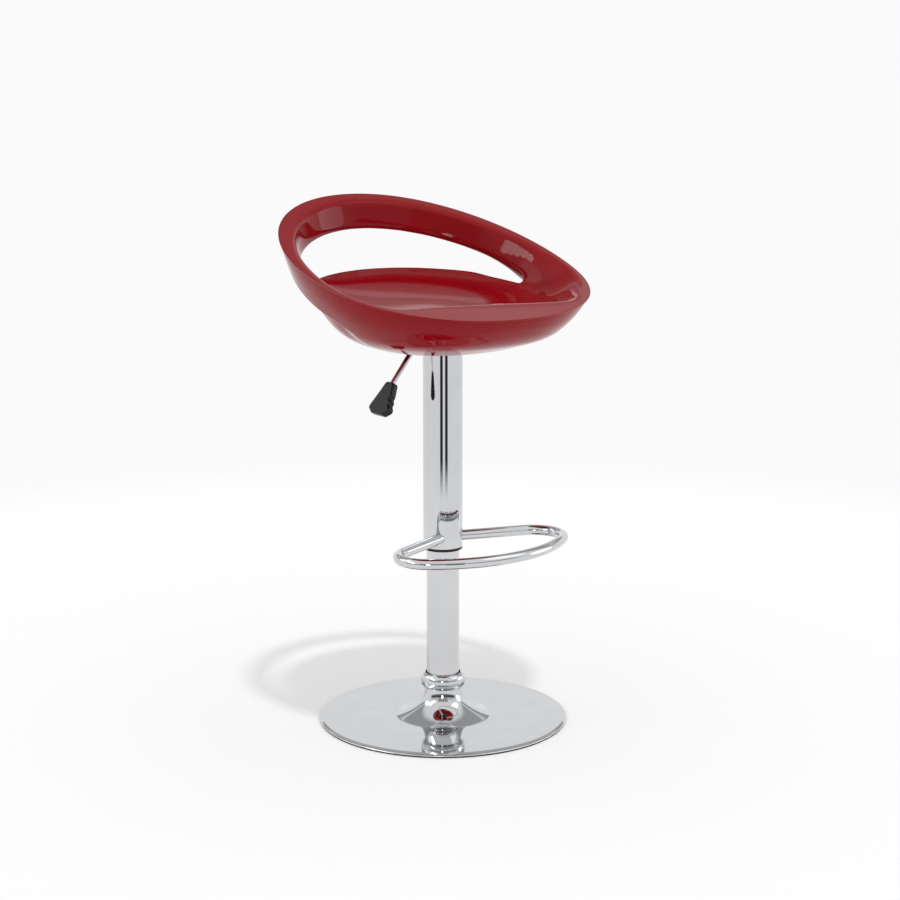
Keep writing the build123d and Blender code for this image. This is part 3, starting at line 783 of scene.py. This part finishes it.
def seat():
    outer = np.array([row_loop(row) for row in bowl_rows])
    dish = [dish_loop(row, share) for row, share in zip(dish_rows, tilt_shares)]
    inner = np.array([ridge_loop(outer[0]), *dish])
    cage = [seat_column(k, outer, inner) for k in range(columns)]
    names = list(cage[0])
    first = {name: n * columns for n, name in enumerate(names)}
    points = [tuple(column[name]) for name in names for column in cage]
    faces = []

    def strip(a, b, k):
        n = (k + 1) % columns
        faces.append((first[a] + k, first[a] + n, first[b] + n, first[b] + k))

    for k in range(columns):
        in_window = window_first <= k < window_last
        for a, b in zip(names, names[1:]):
            if not (in_window and (a, b) in (("pan_in", "hoop_in"), ("hoop_out", "pan_out"))):
                strip(a, b, k)
        if in_window:
            strip("hoop_in", "hoop_out", k)
            strip("pan_out", "pan_in", k)
    for k in (window_first, window_last):
        faces.append(tuple(first[name] + k for name in ("pan_in", "hoop_in", "hoop_out", "pan_out")))
    # Middle of the dish.
    points.append(tuple(np.mean([column["dish_0"] for column in cage], axis=0)))
    for k in range(columns):
        faces.append(((k + 1) % columns, k, len(points) - 1))
    # Recess underneath, which takes the seat plate.
    ceiling = size_of("seat_plate")[2]
    mouth, middle, lip_low, lip_high, corner = 84.0, 20.0, 1.0, 4.0, 1.5
    last = first[names[-1]]
    recess = [(mouth, 0, lip_low), (mouth, 0, lip_high), (mouth, ceiling - corner, 0)]
    recess += [(mouth - corner, ceiling, 0), (middle, ceiling, 0)]
    for radius, height, lift in recess:
        start = len(points)
        for k in range(columns):
            x, y, z = cage[k][names[-1]]
            scale = radius / math.hypot(x, y)
            points.append((x * scale, y * scale, height if height else z + lift))
        for k in range(columns):
            n = (k + 1) % columns
            faces.append((last + k, last + n, start + n, start + k))
        last = start
    faces.append(tuple(last + k for k in range(columns)))
    shells = ["seat_lower_shell", "seat_upper_shell"]
    return piece("seat_skin", points, faces, "red_shell", "lift", shells, sharp=0, levels=2)


seat()


# Floor: a pale disc that fades into the white surroundings, and keeps the shadow
def floor_disc():
    disc_radius, fade_start, fade_end, pale, segments = 2.6, 1.5, 2.05, 0.90, 96
    mesh = bpy.data.meshes.new("floor")
    work = bmesh.new()
    bmesh.ops.create_circle(work, cap_ends=True, segments=segments, radius=disc_radius)
    work.to_mesh(mesh)
    work.free()
    floor = bpy.data.objects.new("floor", mesh)
    bpy.context.scene.collection.objects.link(floor)
    look = bpy.data.materials.new("pale_floor")
    look.use_nodes = True
    nodes, links = look.node_tree.nodes, look.node_tree.links
    shader = nodes["Principled BSDF"]
    shader.inputs["Base Color"].default_value = (pale, pale, pale, 1.0)
    shader.inputs["Roughness"].default_value = 0.9
    shader.inputs["Specular IOR Level"].default_value = 0.0
    place = nodes.new("ShaderNodeTexCoord")
    length = nodes.new("ShaderNodeVectorMath")
    length.operation = "LENGTH"
    links.new(place.outputs["Object"], length.inputs[0])
    fade = nodes.new("ShaderNodeMapRange")
    fade.interpolation_type = "SMOOTHSTEP"
    fade.inputs["From Min"].default_value = fade_start
    fade.inputs["From Max"].default_value = fade_end
    links.new(length.outputs["Value"], fade.inputs["Value"])
    clear = nodes.new("ShaderNodeBsdfTransparent")
    mix = nodes.new("ShaderNodeMixShader")
    links.new(fade.outputs["Result"], mix.inputs["Fac"])
    links.new(shader.outputs["BSDF"], mix.inputs[1])
    links.new(clear.outputs["BSDF"], mix.inputs[2])
    links.new(mix.outputs["Shader"], nodes["Material Output"].inputs["Surface"])
    mesh.materials.append(look)
    return floor


floor_disc()


# Key lamp, high in front and to the right
def key_lamp():
    strength, spread, to_right, to_front = 0.72, 3.5, 0.106, 0.287
    data = bpy.data.lights.new("key", "SUN")
    data.energy = strength
    data.angle = math.radians(spread)
    lamp = bpy.data.objects.new("key", data)
    bpy.context.scene.collection.objects.link(lamp)
    lamp.rotation_mode = "QUATERNION"
    toward = camera_right * to_right + camera_back * to_front + Vector((0, 0, 1))
    lamp.rotation_quaternion = (-toward).to_track_quat("-Z", "Y")
    lamp.visible_glossy = False
    return lamp


key_lamp()


# Surroundings: a studio for reflections, an even light on matt surfaces, and white for the camera
def studio():
    world = bpy.data.worlds.new("studio")
    bpy.context.scene.world = world
    world.use_nodes = True
    nodes, links = world.node_tree.nodes, world.node_tree.links
    place = nodes.new("ShaderNodeTexCoord")

    def dot(direction):
        node = nodes.new("ShaderNodeVectorMath")
        node.operation = "DOT_PRODUCT"
        node.inputs[1].default_value = direction
        links.new(place.outputs["Generated"], node.inputs[0])
        return node.outputs["Value"]

    def flat_dot(direction):
        # Cosine of the angle from the direction, as seen from above.
        flat = nodes.new("ShaderNodeVectorMath")
        flat.operation = "MULTIPLY"
        flat.inputs[1].default_value = (1.0, 1.0, 0.0)
        links.new(place.outputs["Generated"], flat.inputs[0])
        unit = nodes.new("ShaderNodeVectorMath")
        unit.operation = "NORMALIZE"
        links.new(flat.outputs["Vector"], unit.inputs[0])
        node = nodes.new("ShaderNodeVectorMath")
        node.operation = "DOT_PRODUCT"
        node.inputs[1].default_value = direction
        links.new(unit.outputs["Vector"], node.inputs[0])
        return node.outputs["Value"]

    def step(value, low, high, start=0.0, end=1.0):
        node = nodes.new("ShaderNodeMapRange")
        node.interpolation_type = "SMOOTHSTEP"
        node.inputs["From Min"].default_value = low
        node.inputs["From Max"].default_value = high
        node.inputs["To Min"].default_value = start
        node.inputs["To Max"].default_value = end
        links.new(value, node.inputs["Value"])
        return node.outputs["Result"]

    def both(kind, a, b):
        node = nodes.new("ShaderNodeMath")
        node.operation = kind
        links.new(a, node.inputs[0])
        links.new(b, node.inputs[1])
        return node.outputs["Value"]

    def cosine(degrees):
        return math.cos(math.radians(degrees))

    def towards(azimuth, elevation):
        a, e = math.radians(azimuth), math.radians(elevation)
        flat = camera_back * math.cos(a) + camera_right * math.sin(a)
        return flat * math.cos(e) + Vector((0, 0, math.sin(e)))

    # Each pair is where a soft step starts and ends, as the sine of an elevation or the cosine of a turn.
    horizon, eye_top, upper_top, strip_top = (-0.07, 0.05), (0.10, 0.16), (0.28, 0.34), (0.42, 0.56)
    wall_top, pale_start, pale_end, ground = (0.343, 0.360), (0.45, 0.47), (0.52, 0.54), (-0.04, -0.01)
    front_side, back_side, strip_side = (0.05, 0.45), (-0.5, -0.2), (0.83, 0.90)
    upper_shade, strip_shade, high_shade, pale_shade, stripe_shade = 0.35, 0.6, 0.58, 0.26, 0.92
    wall_light, dark_light = 0.95, 0.10
    # Dark in front at eye level, less so above it, with a narrow strip that reaches higher.
    up = dot(Vector((0, 0, 1)))
    front = step(dot(camera_back), *front_side)
    low = both("MAXIMUM", step(up, *eye_top, 1.0, 0.0), step(up, *upper_top, upper_shade, 0.0))
    low = both("MULTIPLY", low, step(up, *horizon))
    narrow = step(flat_dot(camera_back), *strip_side)
    narrow = both("MULTIPLY", narrow, step(up, *strip_top, strip_shade, 0.0))
    narrow = both("MULTIPLY", narrow, step(up, *horizon))
    shade = both("MAXIMUM", both("MULTIPLY", front, low), narrow)
    # Dim above the wall behind, apart from a paler band.
    high = step(up, *wall_top, 0.0, high_shade)
    paler = both("MULTIPLY", step(up, *pale_start, 0.0, pale_shade), step(up, *pale_end, 1.0, 0.0))
    high = both("SUBTRACT", high, paler)
    behind = step(dot(camera_back), *back_side, 1.0, 0.0)
    shade = both("MAXIMUM", shade, both("MULTIPLY", high, behind))
    light = step(shade, 0.0, 1.0, wall_light, dark_light)
    # Azimuth from the camera, elevation, size and strength of each soft box.
    boxes = [
        (102.0, 7.0, 14.0, 2.6),
        (80.0, 45.0, 17.0, 1.6),
        (-100.0, 30.0, 14.0, 1.6),
        (-4.0, 6.0, 4.5, 8.0),
        (-54.0, 25.0, 5.5, 7.0),
        (-61.0, 29.0, 5.5, 7.0),
        (-69.0, 33.0, 5.5, 7.0),
        (-77.0, 38.0, 5.5, 7.0),
        (-85.0, 43.0, 5.0, 7.0),
    ]
    inner_share, outer_share = 0.8, 1.2
    for azimuth, elevation, size, strength in boxes:
        near, far = cosine(size * inner_share), cosine(size * outer_share)
        box = step(dot(towards(azimuth, elevation)), far, near, 0.0, strength)
        light = both("MAXIMUM", light, box)
    # Two dark stripes below the horizon, which the column shows as upright lines.
    stripe_azimuths, stripe_inner, stripe_outer = (-7.5, 20.7), 6.8, 8.2
    below = step(up, *ground, 1.0, 0.0)
    for azimuth in stripe_azimuths:
        far, near = cosine(stripe_outer), cosine(stripe_inner)
        bar = step(flat_dot(towards(azimuth, 0.0)), far, near, 0.0, stripe_shade)
        light = both("SUBTRACT", light, both("MULTIPLY", bar, below))
    # The camera sees white, reflections see the studio, and all other light is even.
    even_light, seen_white = 0.90, 0.956
    path = nodes.new("ShaderNodeLightPath")
    background = nodes["Background"]
    plain = nodes.new("ShaderNodeBackground")
    plain.inputs["Color"].default_value = (even_light, even_light, even_light, 1.0)
    white = nodes.new("ShaderNodeBackground")
    white.inputs["Color"].default_value = (seen_white, seen_white, seen_white, 1.0)
    links.new(light, background.inputs["Color"])
    glossy = nodes.new("ShaderNodeMixShader")
    links.new(path.outputs["Is Glossy Ray"], glossy.inputs["Fac"])
    links.new(plain.outputs["Background"], glossy.inputs[1])
    links.new(background.outputs["Background"], glossy.inputs[2])
    seen = nodes.new("ShaderNodeMixShader")
    links.new(path.outputs["Is Camera Ray"], seen.inputs["Fac"])
    links.new(glossy.outputs["Shader"], seen.inputs[1])
    links.new(white.outputs["Background"], seen.inputs[2])
    links.new(seen.outputs["Shader"], nodes["World Output"].inputs["Surface"])


studio()
